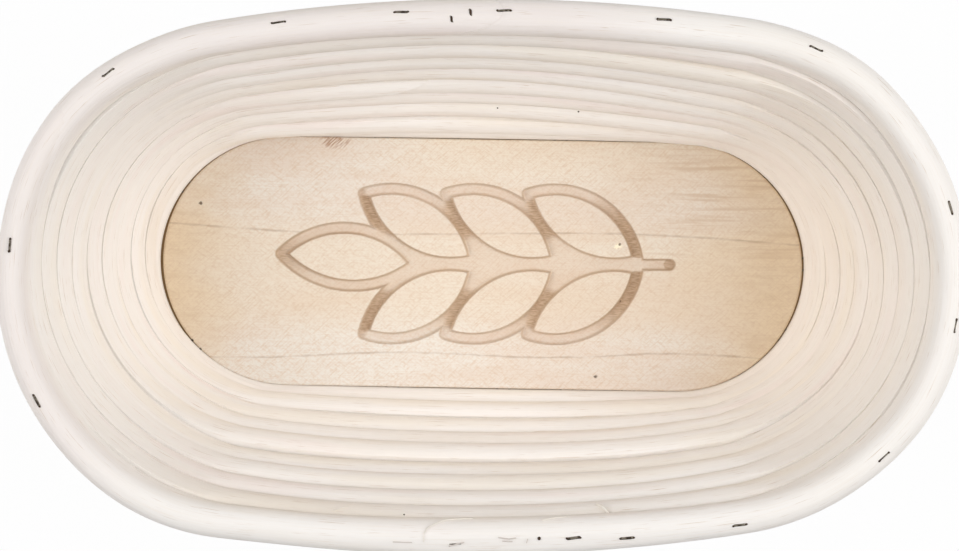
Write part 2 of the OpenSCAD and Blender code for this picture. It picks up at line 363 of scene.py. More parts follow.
def mesh_object(name, points, faces, smooth_angle=None):
    mesh = bpy.data.meshes.new(name)
    mesh.from_pydata(points, [], faces)
    mesh.validate()
    for polygon in mesh.polygons:
        polygon.use_smooth = True
    if smooth_angle:
        mesh.set_sharp_from_angle(angle=math.radians(smooth_angle))
    piece = bpy.data.objects.new(name, mesh)
    bpy.context.scene.collection.objects.link(piece)
    return piece


def float_attribute(piece, name, values):
    layer = piece.data.attributes.new(name, "FLOAT", "POINT")
    layer.data.foreach_set("value", np.asarray(values, dtype=np.float32).ravel())


def tube_faces(rings, sides, first=0):
    """Quads between rings of points, and a cap at each end."""
    ring = np.arange(rings - 1)[:, None] * sides + first
    side = np.arange(sides)[None, :]
    after = (side + 1) % sides
    corners = [ring + side, ring + sides + side, ring + sides + after, ring + after]
    skin = np.stack(corners, axis=-1).reshape(-1, 4).tolist()
    last = first + (rings - 1) * sides
    return skin + [list(range(first, first + sides)), list(range(last + sides - 1, last - 1, -1))]


# Canes

def staple_dents(place, turned):
    """How deep the rim's staples have bitten into the cane."""
    depth = np.zeros(np.broadcast(place, turned).shape)
    run = side_run(TURNS - 1)
    for share in RIM_STAPLES:
        distance = (place - on_turn(TURNS, share)) * run / DENT_HALF_L
        near = np.exp(-(distance**4)) * np.exp(-((turned / DENT_HALF_ANGLE) ** 2))
        depth = np.maximum(depth, DENT_DEPTH * near)
    return depth


def pressed_share(level, along):
    """How far the cane is pressed flat there: not at all on top of the rim and under the foot."""
    return np.where(along > 0, np.clip(TURNS - 1 - level, 0, 1), np.clip(level, 0, 1))


def face_radius(place):
    """Radius of the cane's inner and outer faces, in cane radii."""
    _, _, _, direction = arc_at(place, level_at(place))
    at_end = PRESSED_END * (1 + PRESSED_CHANGE * swelling(place))
    return PRESSED_SIDE + (at_end - PRESSED_SIDE) * round_end(direction)


def section_radius(place, turned):
    """Reach of the section at an angle, as a share of the cane's radius."""
    face_r = face_radius(place)
    side = np.abs(np.sin(turned))
    face = np.sqrt((side * (face_r - 1)) ** 2 + 2 * face_r - 1) - side * (face_r - 1)
    pressed = np.minimum(face, 1 / np.maximum(np.abs(np.cos(turned)), 1e-6))
    return 1 + (pressed - 1) * pressed_share(level_at(place), np.cos(turned))


def cane_section(place, turned):
    """The section at each place, pared flat where a climb leaves less room for it."""
    level = level_at(place)
    room_above = np.minimum(1, climb(place + 1) - level)
    room_below = np.minimum(1, level - climb(place - 1))
    on_tail = climb(place) > TURNS - 1
    on_start = climb(place) < 0
    plain = CANE_R * (1 + THICKNESS_CHANGE * swelling(place)) + rim_thicker(place)
    plain = plain * np.where(on_tail, 1 - TAIL_THINNER * (1 - room_below), 1)
    plain = plain * np.where(on_start, 1 - TAIL_THINNER * (1 - room_above), 1)
    radius = plain * section_radius(place, turned) - staple_dents(place, turned)
    highest = np.where(on_start, CANE_D, CANE_R - (1 - room_above) * CANE_D)
    lowest = np.where(on_tail, -CANE_D, (1 - room_below) * CANE_D - CANE_R)
    along = np.clip(radius * np.cos(turned), lowest, highest)
    round_half = np.sqrt(np.clip(plain**2 - along**2, 0, None))
    face_r = face_radius(place)
    face_reach = np.sqrt(np.clip(face_r**2 - (along / CANE_R) ** 2, 0, None))
    face_half = plain * (face_reach - (face_r - 1))
    half = round_half + (face_half - round_half) * pressed_share(level, along)
    return along, np.clip(radius * np.sin(turned), -half, half)


def surface_point(place, turned):
    """Point on the surface of the cane at a place and an angle."""
    reach = (CANE_R + float(rim_thicker(place))) * float(section_radius(place, turned))
    stray = float(turn_stray(place))
    return Vector(cane_point(place, reach * math.cos(turned), reach * math.sin(turned), stray))


def cane_points(place, start, end, scarf_start, scarf_end):
    """Rings of points along a length of cane, whose scarfed ends slant over two scarf lengths."""
    turned = (np.arange(CANE_SIDES) * 2 * math.pi / CANE_SIDES - math.pi)[None, :]
    along, across = cane_section(place, turned)
    level = level_at(place)
    run = side_run(level)
    near_start = np.clip(1 - (place - start) * run / (2 * SCARF_L), 0, 1) * scarf_start
    near_end = np.clip(1 - (end - place) * run / (2 * SCARF_L), 0, 1) * scarf_end
    slanted = place + (near_start + near_end) * SCARF_L / CANE_D / run * along
    step = SCARF_STEP * freedom(level) * (near_start / 2 - near_end)
    return cane_point(slanted, along, across, turn_stray(place) + step)


def run_uv(points):
    """UV of a tube, face corner by face corner: metres along it, and metres round it."""
    middle = points.mean(axis=1)
    length = np.concatenate([[0], np.cumsum(np.linalg.norm(np.diff(middle, axis=0), axis=1))])
    girth = np.arange(CANE_SIDES + 1) * math.pi * CANE_D / CANE_SIDES
    low, near = np.meshgrid(length[:-1], girth[:-1], indexing="ij")
    high, far = np.meshgrid(length[1:], girth[1:], indexing="ij")
    skin = np.stack([low, near, high, near, high, far, low, far], axis=-1).reshape(-1, 2)
    return np.concatenate([skin, np.zeros((2 * CANE_SIDES, 2))])


def cane_length(name, start, end, scarf_start, scarf_end):
    count = round((end - start) * RINGS_PER_TURN) + 1
    place = np.linspace(start, end, count)[:, None]
    points = cane_points(place, start, end, scarf_start, scarf_end)
    piece = mesh_object(name, points.reshape(-1, 3), tube_faces(count, CANE_SIDES), 42)
    layer = piece.data.uv_layers.new(name="run")
    layer.data.foreach_set("uv", run_uv(points).ravel())
    return piece


# The carved board

def leaf_arcs(foot, direction, length, bow_left, bow_right):
    """The two arcs of a leaf that grows from its foot, centre and radius of each, then its foot
    and its tip."""
    lengthwise = np.array([math.cos(direction), math.sin(direction)])
    leftwards = np.array([-lengthwise[1], lengthwise[0]])
    arcs = []
    for sag, outwards in ((bow_left, leftwards), (bow_right, -leftwards)):
        radius = (length**2 / 4 + sag**2) / (2 * sag)
        arcs.append((foot + length / 2 * lengthwise + (sag - radius) * outwards, radius))
    return arcs, foot, foot + length * lengthwise


def leaf_field(x, y, leaf):
    """Signed distance from a leaf's outline, rounded and sharp at its tips, and for each arc its
    distance and how far it runs across X."""
    arcs, foot, tip = leaf
    half_chord = np.linalg.norm(tip - foot) / 2
    chord = (tip - foot) / (2 * half_chord)
    to_tips = np.minimum(*(np.hypot(x - end[0], y - end[1]) for end in (foot, tip)))
    distances, nearest, runs = [], [], []
    for centre, radius in arcs:
        from_x, from_y = x - centre[0], y - centre[1]
        reach = np.hypot(from_x, from_y)
        outwards = (foot + tip) / 2 - centre
        beside = np.abs(from_x * chord[0] + from_y * chord[1]) * radius < half_chord * reach
        beside &= from_x * outwards[0] + from_y * outwards[1] > 0
        distances.append(reach - radius)
        nearest.append(np.where(beside, np.abs(reach - radius), to_tips))
        runs.append(np.abs(from_x) / reach)
    outline = np.maximum(*distances)
    return np.where(outline > 0, np.minimum(*nearest), outline), outline, zip(nearest, runs)


def in_triangle(x, y, corners):
    """Whether points lie inside a triangle."""
    turns = []
    for i in range(3):
        a, b = corners[i], corners[(i + 1) % 3]
        turns.append((b[0] - a[0]) * (y - a[1]) - (b[1] - a[1]) * (x - a[0]))
    return np.all(np.array(turns) > 0, axis=0) | np.all(np.array(turns) < 0, axis=0)


def carving(board_x, board_y):
    """How far points lie inside the carved groove, and how far it runs across the grain there."""
    x = board_x * math.cos(EAR_TURN) + board_y * math.sin(EAR_TURN)
    y = board_y * math.cos(EAR_TURN) - board_x * math.sin(EAR_TURN)
    last_foot = STEM_END - STEM_TAIL
    first_foot = last_foot - (LEAF_PAIRS - 1) * LEAF_PITCH
    tip_foot = first_foot - STEM_TIP
    half = GROOVE_W / 2
    room = half - np.hypot(x - np.clip(x, tip_foot, STEM_END), y)
    to_islands = np.full_like(x, half)
    web = np.zeros_like(x, dtype=bool)
    to_tips = np.full_like(x, LEAF_L)
    tip_direction = math.pi - TIP_LEAF_TILT
    tip_leaf = leaf_arcs(
        np.array([tip_foot, 0]), tip_direction, TIP_LEAF_L, TIP_LEAF_BOW_FRONT, TIP_LEAF_BOW_BACK
    )
    fields = [leaf_field(x, y, tip_leaf)]
    for pair in range(LEAF_PAIRS):
        foot = np.array([first_foot + pair * LEAF_PITCH, LEAF_LIFT])
        leaf = leaf_arcs(foot, math.pi - LEAF_ANGLE, LEAF_L, LEAF_BOW_IN, LEAF_BOW_OUT)
        next_x = foot[0] + LEAF_PITCH
        bulge = (foot + leaf[2]) / 2 + LEAF_BOW_OUT * np.array(
            [math.sin(LEAF_ANGLE), math.cos(LEAF_ANGLE)]
        )
        for side in (y, -y):
            fields.append(leaf_field(x, side, leaf))
            if pair > 0:
                to_tips = np.minimum(to_tips, np.hypot(x - leaf[2][0], side - leaf[2][1]))
            if pair < LEAF_PAIRS - 1:
                web |= in_triangle(x, side, [(foot[0], 0), (next_x, 0), bulge])
    runs, weights = np.zeros_like(x), np.full_like(x, 1e-9)
    for distance, outline, arcs in fields:
        room = np.maximum(room, half - distance)
        to_islands = np.minimum(to_islands, half + outline)
        for away, run in arcs:
            weight = np.exp(-((away / GRAIN_BLEND) ** 2))
            runs += weight * run
            weights += weight
    inside = np.minimum(np.where(web, half, room), to_islands)
    # Between the leaves' feet the cutter has cleared the floor, so it shows little end grain
    kept = np.maximum(smooth(np.abs(y), *CLEARED_UP_TO), smooth(x - last_foot, -7 * MM, -5 * MM))
    kept = np.maximum(kept, smooth(tip_foot - TIP_LEAF_L / 4 - x, 0, 8 * MM))
    beside_stem = (x > tip_foot) * (1 - smooth(np.abs(y), 0.9 * half, 1.2 * half))
    at_tip = TIP_FADED * np.exp(-((to_tips / TIP_FADED_R) ** 2))
    across = runs / weights * kept * (1 - beside_stem) * (1 - at_tip)
    return inside, np.where(np.hypot(x - STEM_END, y) < half, 0.75, across)


def growth_lines(x, y):
    """Distance from the two growth lines that run along the board."""
    half = BOARD_L / 2
    upper = UPPER_LINE_Y - 0.02 * x + 1.5 * MM * np.sin(math.pi * x / half)
    lower = LOWER_LINE_Y + 0.016 * x + 0.8 * MM * np.cos(2.1 * math.pi * x / half - 4.6)
    lower = lower - 1.4 * MM * smooth(x, 0.5 * half, 0.9 * half)
    return y - upper, y - lower


def edge_outline(offset, outline):
    """The board's outline, moved inwards by an offset."""
    end_x = (BOARD_L - BOARD_W) / 2
    spine = np.clip(outline[:, 0], -end_x, end_x)
    out = outline - np.stack([spine, np.zeros(len(spine))], axis=1)
    out /= np.linalg.norm(out, axis=1)[:, None]
    reach = BOARD_W / 2 - offset
    return np.stack([spine + reach * out[:, 0], reach * out[:, 1]], axis=1)


def board_grid():
    """A grid of points that fills the board's flat top."""
    end_x = (BOARD_L - BOARD_W) / 2
    flat_r = BOARD_W / 2 - BOARD_EDGE
    end_columns = round(flat_r / BOARD_GRID * 0.9)
    swing = np.linspace(0.004, 1, end_columns, endpoint=False) * math.pi / 2
    right = end_x + flat_r * np.cos(swing[::-1])
    middle = np.linspace(-end_x, end_x, round(2 * end_x / BOARD_GRID))
    x = np.concatenate([-right[::-1], middle, right])[:, None]
    half = np.sqrt(flat_r**2 - np.clip(np.abs(x) - end_x, 0, None) ** 2)
    y = half * np.linspace(-1, 1, round(2 * flat_r / BOARD_GRID))[None, :]
    return x + np.zeros_like(y), y


def carved_board(name):
    x, y = board_grid()
    inside, across = carving(x, y)
    depth = GROOVE_D * (1 - (1 - np.clip(inside / GROOVE_WALL, 0, 1)) ** 2.5)
    top = np.stack([x, y, BOARD_TOP - depth], axis=-1).reshape(-1, 3)
    index = np.arange(x.size).reshape(x.shape)
    corners = [index[:-1, :-1], index[1:, :-1], index[1:, 1:], index[:-1, 1:]]
    faces = np.stack(corners, axis=-1).reshape(-1, 4).tolist()
    # Rounded edges and the side follow the outline of the flat top
    loop = np.concatenate([index[:, 0], index[-1, 1:], index[-2::-1, -1], index[0, -2:0:-1]])
    outline = top[loop][:, :2]
    inset = BOARD_EDGE * (1 - np.sin(EDGE_BENDS))
    drop = BOARD_EDGE * (1 - np.cos(EDGE_BENDS))
    heights = [*(BOARD_TOP - drop), *(board_low[2] + drop[::-1]), board_low[2]]
    points = [top]
    total = len(top)
    for offset, height in zip([*inset, *inset[::-1], BOARD_EDGE], heights):
        edge = edge_outline(offset, outline)
        points.append(np.column_stack([edge, np.full(len(edge), height)]))
        current = total + np.arange(len(edge))
        total += len(edge)
        ring = [loop, current, np.roll(current, -1), np.roll(loop, -1)]
        faces += np.stack(ring, axis=-1).tolist()
        loop = current
    faces.append(loop[::-1].tolist())
    points = np.concatenate(points)
    turned = points @ np.array(Matrix.Rotation(BOARD_TURN, 3, "Z")).T
    piece = mesh_object(name, turned, faces, 50)
    plain = np.zeros(total - len(top))
    float_attribute(piece, "cut", np.concatenate([depth.ravel() / GROOVE_D, plain]))
    float_attribute(piece, "across_grain", np.concatenate([across.ravel(), plain]))
    float_attribute(piece, "inside_groove", np.concatenate([inside.ravel() / MM, plain - 9]))
    for line, distance in enumerate(growth_lines(points[:, 0], points[:, 1])):
        float_attribute(piece, f"growth_{line}", distance / MM)
    return piece


# Staples and loose fibres

def cane_frame(place, turned=0.0):
    """Tangent, outward normal and sideways direction of the cane's surface at a place."""
    _, _, _, direction = (float(part) for part in arc_at(place, level_at(place)))
    radial = Vector((math.cos(direction), math.sin(direction), 0))
    tangent = Vector((math.sin(direction), -math.cos(direction), 0))
    lengthwise = radial * math.cos(LEAN) + Vector((0, 0, math.sin(LEAN)))
    sideways = radial * math.sin(LEAN) - Vector((0, 0, math.cos(LEAN)))
    normal = lengthwise * math.cos(turned) + sideways * math.sin(turned)
    return tangent, normal, tangent.cross(normal)


def wire_points(path, along, up, width, height, sides):
    """Rings of a flattened wire that follows a path of (along, up) points."""
    rings = []
    for i, spot in enumerate(path):
        before, after = path[max(i - 1, 0)], path[min(i + 1, len(path) - 1)]
        heading = (after - before).normalized()
        across = along.cross(up).normalized()
        lift = across.cross(heading).normalized()
        for side in range(sides):
            angle = 2 * math.pi * side / sides
            rings.append(
                spot + across * width / 2 * math.cos(angle) + lift * height / 2 * math.sin(angle)
            )
    return rings


def staple_path(spot, along, up, crown, arch):
    """Middle line of a staple: down one leg, over the crown and down the other leg."""
    half = crown / 2 - WIRE_T / 2
    bend = WIRE_T / 2
    outline = [(-half, -LEG_L), (-half, -bend), (-half + bend / 3, -bend / 3), (-half + bend, 0)]
    outline += [(-half / 3, arch), (half / 3, arch)]
    outline += [(half - bend, 0), (half - bend / 3, -bend / 3), (half, -bend), (half, -LEG_L)]
    return [spot + along * a + up * (u - WIRE_T / 2) for a, u in outline]


def staples_on_cane(name, turn, shares, crown, turned):
    """Bent wire staples on a turn, none of them quite like the next. Below the rim the next turn
    covers them, and on the rim a few are sunk."""
    points, faces = [], []
    for share in shares:
        place = on_turn(turn, share)
        leaning = LEANING.get(share, 0.0) if turn == TURNS else 0.0
        tangent, normal, sideways = cane_frame(place, leaning)
        tilt = turned + chance.uniform(*CROWN_TILT)
        along = tangent * math.cos(tilt) + sideways * math.sin(tilt)
        proud = SUNK if share in SUNK_STAPLES else chance.uniform(*PROUD)
        if turn < TURNS:
            proud = COVERED
        spot = surface_point(place, leaning) + normal * proud
        path = staple_path(spot, along, normal, crown, chance.uniform(*CROWN_ARCH) * MM)
        faces += tube_faces(len(path), WIRE_SIDES, len(points))
        width = WIRE_W * chance.uniform(*WIRE_SHARE)
        points += wire_points(path, along, normal, width, WIRE_T, WIRE_SIDES)
    return mesh_object(name, points, faces)


def pin_holes(name, spots):
    """Holes in the cane, as thin domes on its surface painted with the shade of their hollows:
    place, angle and half size of each.
    """
    points, faces = [], []
    for place, turned, half_l, half_w in spots:
        tangent, normal, sideways = cane_frame(place, turned)
        spot = surface_point(place, turned) - normal * DENT_DEPTH * 0.2
        first = len(points)
        for share, lift in HOLE_DOME:
            for side in range(HOLE_SIDES):
                angle = 2 * math.pi * side / HOLE_SIDES
                out = tangent * half_l * math.cos(angle) + sideways * half_w * math.sin(angle)
                points.append(spot + out * share + normal * lift * MM)
        faces += tube_faces(len(HOLE_DOME), HOLE_SIDES, first)
    return mesh_object(name, points, faces)


def fibre(points, faces, route, width, lift):
    """A loose splinter over the cane, on a route of places and angles, a little lifted between."""
    count = 6 * len(route) + 1
    knots = np.linspace(0, 1, len(route))
    path = []
    for part in np.linspace(0, 1, count):
        place = np.interp(part, knots, [stop[0] for stop in route])
        turned = np.interp(part, knots, [stop[1] for stop in route])
        _, normal, _ = cane_frame(place, turned)
        rise = lift * math.sin(math.pi * part) + width / 4
        path.append(surface_point(place, turned) + normal * rise)
    _, normal, _ = cane_frame(route[0][0], np.mean([stop[1] for stop in route]))
    faces += tube_faces(count, 6, len(points))
    points += wire_points(path, (path[-1] - path[0]).normalized(), normal, width, width * 0.5, 6)


# Materials

class Shader:
    """A node material, built up node by node."""

    def __init__(self, name):
        self.material = bpy.data.materials.new(name)
        self.material.use_nodes = True
        self.tree = self.material.node_tree
        self.surface = self.tree.nodes["Principled BSDF"]

    def set(self, socket, value):
        if isinstance(value, bpy.types.NodeSocket):
            self.tree.links.new(value, socket)
        elif isinstance(value, bpy.types.Node):
            self.tree.links.new(value.outputs[0], socket)
        else:
            socket.default_value = value

    def node(self, kind, inputs=(), **settings):
        made = self.tree.nodes.new(kind)
        for key, value in settings.items():
            setattr(made, key, value)
        for key, value in dict(inputs).items():
            self.set(made.inputs[key], value)
        return made

    def finish(self, **inputs):
        for key, value in inputs.items():
            self.set(self.surface.inputs[key.replace("_", " ")], value)
        return self.material

    def math(self, operation, first, second=0.0):
        return self.node("ShaderNodeMath", {0: first, 1: second}, operation=operation)

    def times(self, first, second):
        return self.math("MULTIPLY", first, second)

    def size(self, value):
        return self.math("ABSOLUTE", value)

    def rest(self, value):
        """What is missing from a value to 1."""
        return self.math("SUBTRACT", 1.0, value)

    def stretch(self, vector, scale, turn=0.0):
        """A vector turned about Z, then scaled."""
        if turn:
            vector = self.node("ShaderNodeMapping", {"Vector": vector, "Rotation": (0, 0, turn)})
        return self.node("ShaderNodeMapping", {"Vector": vector, "Scale": scale})

    def noise(self, vector, scale=1.0, detail=3.0, roughness=0.5):
        inputs = {"Vector": vector, "Scale": scale, "Detail": detail, "Roughness": roughness}
        return self.node("ShaderNodeTexNoise", inputs)

    def ramp(self, value, low, high, top=1.0):
        """0 at low, top at high, smooth between."""
        inputs = {"Value": value, "From Min": low, "From Max": high, "To Max": top}
        return self.node("ShaderNodeMapRange", inputs, interpolation_type="SMOOTHSTEP")

    def spread(self, value, low, high):
        """A value from 0 to 1, spread from low to high."""
        return self.node("ShaderNodeMapRange", {"Value": value, "To Min": low, "To Max": high})

    def mix(self, share, first, second):
        made = self.node("ShaderNodeMix", data_type="RGBA")
        for socket, value in ((0, share), (6, first), (7, second)):
            self.set(made.inputs[socket], value)
        return made.outputs[2]

    def bump(self, height, strength, distance):
        inputs = {"Height": height, "Strength": strength, "Distance": distance}
        return self.node("ShaderNodeBump", inputs)

    def attribute(self, name):
        return self.node("ShaderNodeAttribute", attribute_name=name).outputs["Fac"]

    def object_place(self):
        return self.node("ShaderNodeTexCoord").outputs["Object"]


def srgb(red, green, blue):
    """A colour as a linear value, from the 0 to 255 that a screen shows."""
    parts = [part / 255 for part in (red, green, blue)]
    linear = [p / 12.92 if p <= 0.04045 else ((p + 0.055) / 1.055) ** 2.4 for p in parts]
    return (*linear, 1)


def rattan(name, pale, straw):
    """Peeled cane: pale, with fibres along it, patches of several tones and short dark streaks."""
    shader = Shader(name)
    run = shader.node("ShaderNodeUVMap", uv_map="run").outputs[0]
    fibres = shader.noise(shader.stretch(run, (45, 2600, 1)), detail=4, roughness=0.6)
    strands = shader.noise(shader.stretch(run, (14, 700, 1)), detail=2)
    patches = shader.noise(shader.stretch(run, (9, 60, 1)), detail=2)
    tints = shader.noise(shader.stretch(run, (11, 90, 1), 0.02), detail=2)
    streaks = shader.noise(shader.stretch(run, (85, 3000, 1)), detail=2)
    axes = shader.node("ShaderNodeSeparateXYZ", {0: shader.object_place()})
    x, y, z = (axes.outputs[axis] for axis in "XYZ")
    colour = shader.mix(shader.ramp(patches, 0.45, 0.75, 0.6), pale, straw)
    colour = shader.mix(shader.ramp(tints, 0.52, 0.7, 0.5), colour, srgb(249, 236, 231))
    colour = shader.mix(shader.ramp(tints, 0.48, 0.3, 0.5), colour, srgb(248, 239, 225))
    colour = shader.mix(shader.ramp(strands, 0.5, 0.8, 0.4), colour, srgb(240, 234, 228))
    colour = shader.mix(shader.ramp(x, 60 * MM, 125 * MM, 0.25), colour, srgb(248, 231, 210))
    # Painted light: the upper wall round both ends is whitened, as if more light fell there from
    # above
    to_end = shader.ramp(shader.size(x), 80 * MM, 115 * MM, 0.5)
    painted_end_light = shader.times(to_end, shader.ramp(z, 50 * MM, 80 * MM))
    colour = shader.mix(painted_end_light, colour, srgb(255, 250, 244))
    # The rim is the whitest, with painted shade that makes it darker at the back and on the left
    at_back = shader.times(shader.ramp(y, 30 * MM, 75 * MM), shader.ramp(x, 70 * MM, 20 * MM))
    shaded = shader.math("ADD", at_back, shader.ramp(x, -90 * MM, -130 * MM))
    rim_tone = shader.mix(shaded, srgb(247, 243, 239), srgb(236, 226, 222))
    colour = shader.mix(shader.ramp(z, 85 * MM, 92 * MM, 0.6), colour, rim_tone)
    colour = shader.mix(shader.ramp(fibres, 0.45, 0.8, 0.45), colour, straw)
    colour = shader.mix(shader.ramp(streaks, 0.63, 0.73, 0.5), colour, srgb(198, 170, 140))
    relief = shader.math("ADD", fibres, shader.times(strands, 1.5))
    return shader.finish(
        Base_Color=colour,
        Roughness=shader.spread(fibres, 0.55, 0.8),
        Specular_IOR_Level=0.25,
        Normal=shader.bump(relief, 0.3, 0.25 * MM),
    )


def spot_share(shader, place, ragged, x, y, radius, height=BOARD_TOP):
    """1 in a small ragged spot of the board, 0 outside it."""
    away = shader.node("ShaderNodeVectorMath", {0: place, 1: (x, y, height)}, operation="DISTANCE")
    uneven = shader.spread(ragged, -0.9 * radius, 0.9 * radius)
    away = shader.math("ADD", away.outputs["Value"], uneven)
    return shader.rest(shader.ramp(away, radius * 0.4, radius))


def board_wood(name):
    """Sanded flat-sawn board: fine pores along X, growth lines, darker ends and cut end grain."""
    shader = Shader(name)
    place = shader.stretch(shader.object_place(), (1, 1, 1), -BOARD_TURN)
    fine = shader.noise(shader.stretch(place, (150, 2600, 900)), detail=4, roughness=0.65)
    scratches = shader.noise(shader.stretch(place, (240, 2400, 900), -0.75), detail=3)
    crossing = shader.noise(shader.stretch(place, (240, 2400, 900), 0.6), detail=3)
    mottle = shader.noise(place, scale=1100, detail=3, roughness=0.7)
    figure = shader.noise(shader.stretch(place, (14, 70, 70)), detail=3)
    blotches = shader.noise(shader.stretch(place, (25, 40, 40)), detail=3)
    bands = shader.noise(shader.stretch(place, (38, 560, 300)), detail=3)
    ragged = shader.noise(shader.stretch(place, (260, 900, 900)), detail=3)
    pale, rosy = srgb(237, 231, 222), srgb(232, 219, 206)
    tan, brown = srgb(233, 212, 181), srgb(160, 124, 90)
    axes = shader.node("ShaderNodeSeparateXYZ", {0: place})
    x, y = axes.outputs["X"], axes.outputs["Y"]
    # Darker towards the ends, more so on the right, with an uneven border
    reach = shader.size(shader.math("SUBTRACT", x, -5 * MM))
    reach = shader.math("ADD", reach, shader.times(blotches, 40 * MM))
    colour = shader.mix(shader.ramp(figure, 0.4, 0.65), pale, rosy)
    at_end = shader.ramp(reach, 86 * MM, 122 * MM)
    colour = shader.mix(at_end, colour, tan)
    clouds = shader.noise(shader.stretch(place, (75, 320, 300)), detail=4, roughness=0.6)
    clouded = shader.times(at_end, shader.ramp(clouds, 0.45, 0.75, 0.45))
    colour = shader.mix(clouded, colour, srgb(196, 162, 124))
    back_right = shader.times(
        shader.ramp(y, 10 * MM, 38 * MM, 0.45), shader.ramp(x, -50 * MM, 0.0)
    )
    colour = shader.mix(back_right, colour, tan)
    from_middle = shader.size(shader.math("SUBTRACT", y, -4 * MM))
    colour = shader.mix(shader.ramp(from_middle, 24 * MM, 8 * MM, 0.38), colour, tan)
    streaked = shader.times(shader.ramp(bands, 0.48, 0.7, 0.42), shader.ramp(x, 30 * MM, 70 * MM))
    streaked = shader.times(streaked, shader.ramp(y, -12 * MM, 12 * MM))
    colour = shader.mix(streaked, colour, srgb(196, 160, 122))
    for texture, low, high, share in (
        (fine, 0.45, 0.8, 0.45),
        (mottle, 0.45, 0.7, 0.36),
        (scratches, 0.5, 0.7, 0.42),
        (crossing, 0.5, 0.7, 0.32),
    ):
        colour = shader.mix(shader.ramp(texture, low, high, share), colour, srgb(216, 188, 160))
    broken = shader.noise(shader.stretch(place, (70, 5, 5)), detail=2)
    uncut = shader.rest(shader.attribute("cut"))
    drawn = shader.times(uncut, shader.ramp(broken, 0.25, 0.6, 0.42))
    for line in (0, 1):
        away = shader.size(shader.attribute(f"growth_{line}"))
        away = shader.math("ADD", away, shader.spread(ragged, -0.45, 0.6))
        near = shader.rest(shader.ramp(away, 0.0, 0.6))
        colour = shader.mix(shader.times(near, drawn), colour, brown)
    # A crumb of flour and a scuffed stretch of edge
    crumb = spot_share(shader, place, mottle, 42.4 * MM, 6.4 * MM, 1.3 * MM)
    colour = shader.mix(crumb, colour, srgb(255, 244, 218))
    aside = shader.node("ShaderNodeVectorMath", {0: place, 1: (46.5 * MM, -37.6 * MM, -BOARD_TOP)})
    out = shader.node(
        "ShaderNodeVectorMath", {0: shader.stretch(aside, (170, 330, 1))}, operation="LENGTH"
    ).outputs["Value"]
    scuff = shader.times(shader.ramp(scratches, 0.42, 0.6, 0.7), shader.ramp(out, 1.0, 0.4))
    colour = shader.mix(scuff, colour, srgb(166, 118, 84))
    # The groove: a darker floor, end grain where it crosses the grain, and painted shade along its
    # edges, darker beside the stem
    cut = shader.attribute("cut")
    colour = shader.mix(shader.times(cut, 0.24), colour, srgb(212, 182, 158))
    cross_cut = shader.times(cut, shader.ramp(shader.attribute("across_grain"), 0.4, 0.88))
    streaks = shader.noise(shader.stretch(place, (500, 2600, 900)), detail=3)
    end_grain = shader.mix(
        shader.ramp(streaks, 0.35, 0.65), srgb(172, 138, 105), srgb(206, 178, 148)
    )
    colour = shader.mix(shader.times(cross_cut, 0.85), colour, end_grain)
    # Painted shade on the groove's edges, where its walls fall into shade; stronger beside the
    # stem, where the walls slope wider
    from_edge = shader.math("SUBTRACT", shader.attribute("inside_groove"), 0.15)
    on_edge = shader.rest(shader.ramp(shader.size(from_edge), 0.1, 0.55))
    from_stem = shader.size(y)
    edge_shade_share = shader.math("ADD", 0.28, shader.ramp(from_stem, 15 * MM, 6 * MM, 0.2))
    colour = shader.mix(shader.times(on_edge, edge_shade_share), colour, srgb(176, 142, 106))
    for speck_x, speck_y, radius, depth in SPECKS:
        share = spot_share(
            shader, place, mottle, speck_x * MM, speck_y * MM, radius * MM, BOARD_TOP - depth
        )
        colour = shader.mix(shader.times(share, 0.85), colour, srgb(84, 62, 40))
    return shader.finish(
        Base_Color=colour,
        Roughness=0.62,
        Specular_IOR_Level=0.25,
        Normal=shader.bump(fine, 0.2, 0.2 * MM),
    )


def staple_wire(name):
    """Dull grey wire, dark with rust in places."""
    shader = Shader(name)
    spots = shader.noise(shader.object_place(), scale=700, detail=3)
    return shader.finish(
        Base_Color=shader.mix(shader.ramp(spots, 0.4, 0.6), srgb(128, 120, 106), srgb(58, 46, 36)),
        Metallic=0.5,
        Roughness=shader.spread(spots, 0.35, 0.65),
    )


def hole_shade(name):
    """Painted shade for the hollow of a hole that a staple has torn in the cane."""
    shader = Shader(name)
    spots = shader.noise(shader.object_place(), scale=1500, detail=2)
    return shader.finish(
        Base_Color=shader.mix(spots, srgb(40, 28, 20), srgb(78, 56, 38)), Roughness=0.9
    )


# Pieces

def dress(piece, material, slot, *nodes):
    piece.data.materials.clear()
    piece.data.materials.append(material)
    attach(piece, "root")
    if nodes:
        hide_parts(*nodes)


def make_canes():
    pale, straw = srgb(250, 245, 240), srgb(241, 230, 217)
    gap = SCARF_GAP / side_run(0)
    lower = cane_length("lower_winding", WINDING_START, WALL_SPLICE, 0, 1)
    dress(lower, rattan("lower_rattan", pale, straw), "rattan", "lower_cane")
    upper = cane_length("upper_winding", WALL_SPLICE + gap, RIM_SPLICE, 1, 1)
    dress(upper, rattan("upper_rattan", pale, straw), "rattan", "upper_cane")
    rim = cane_length("rim_winding", RIM_SPLICE + gap, WINDING_END, 1, 0)
    dress(rim, rattan("rim_rattan", pale, straw), "rattan", "rim_cane")


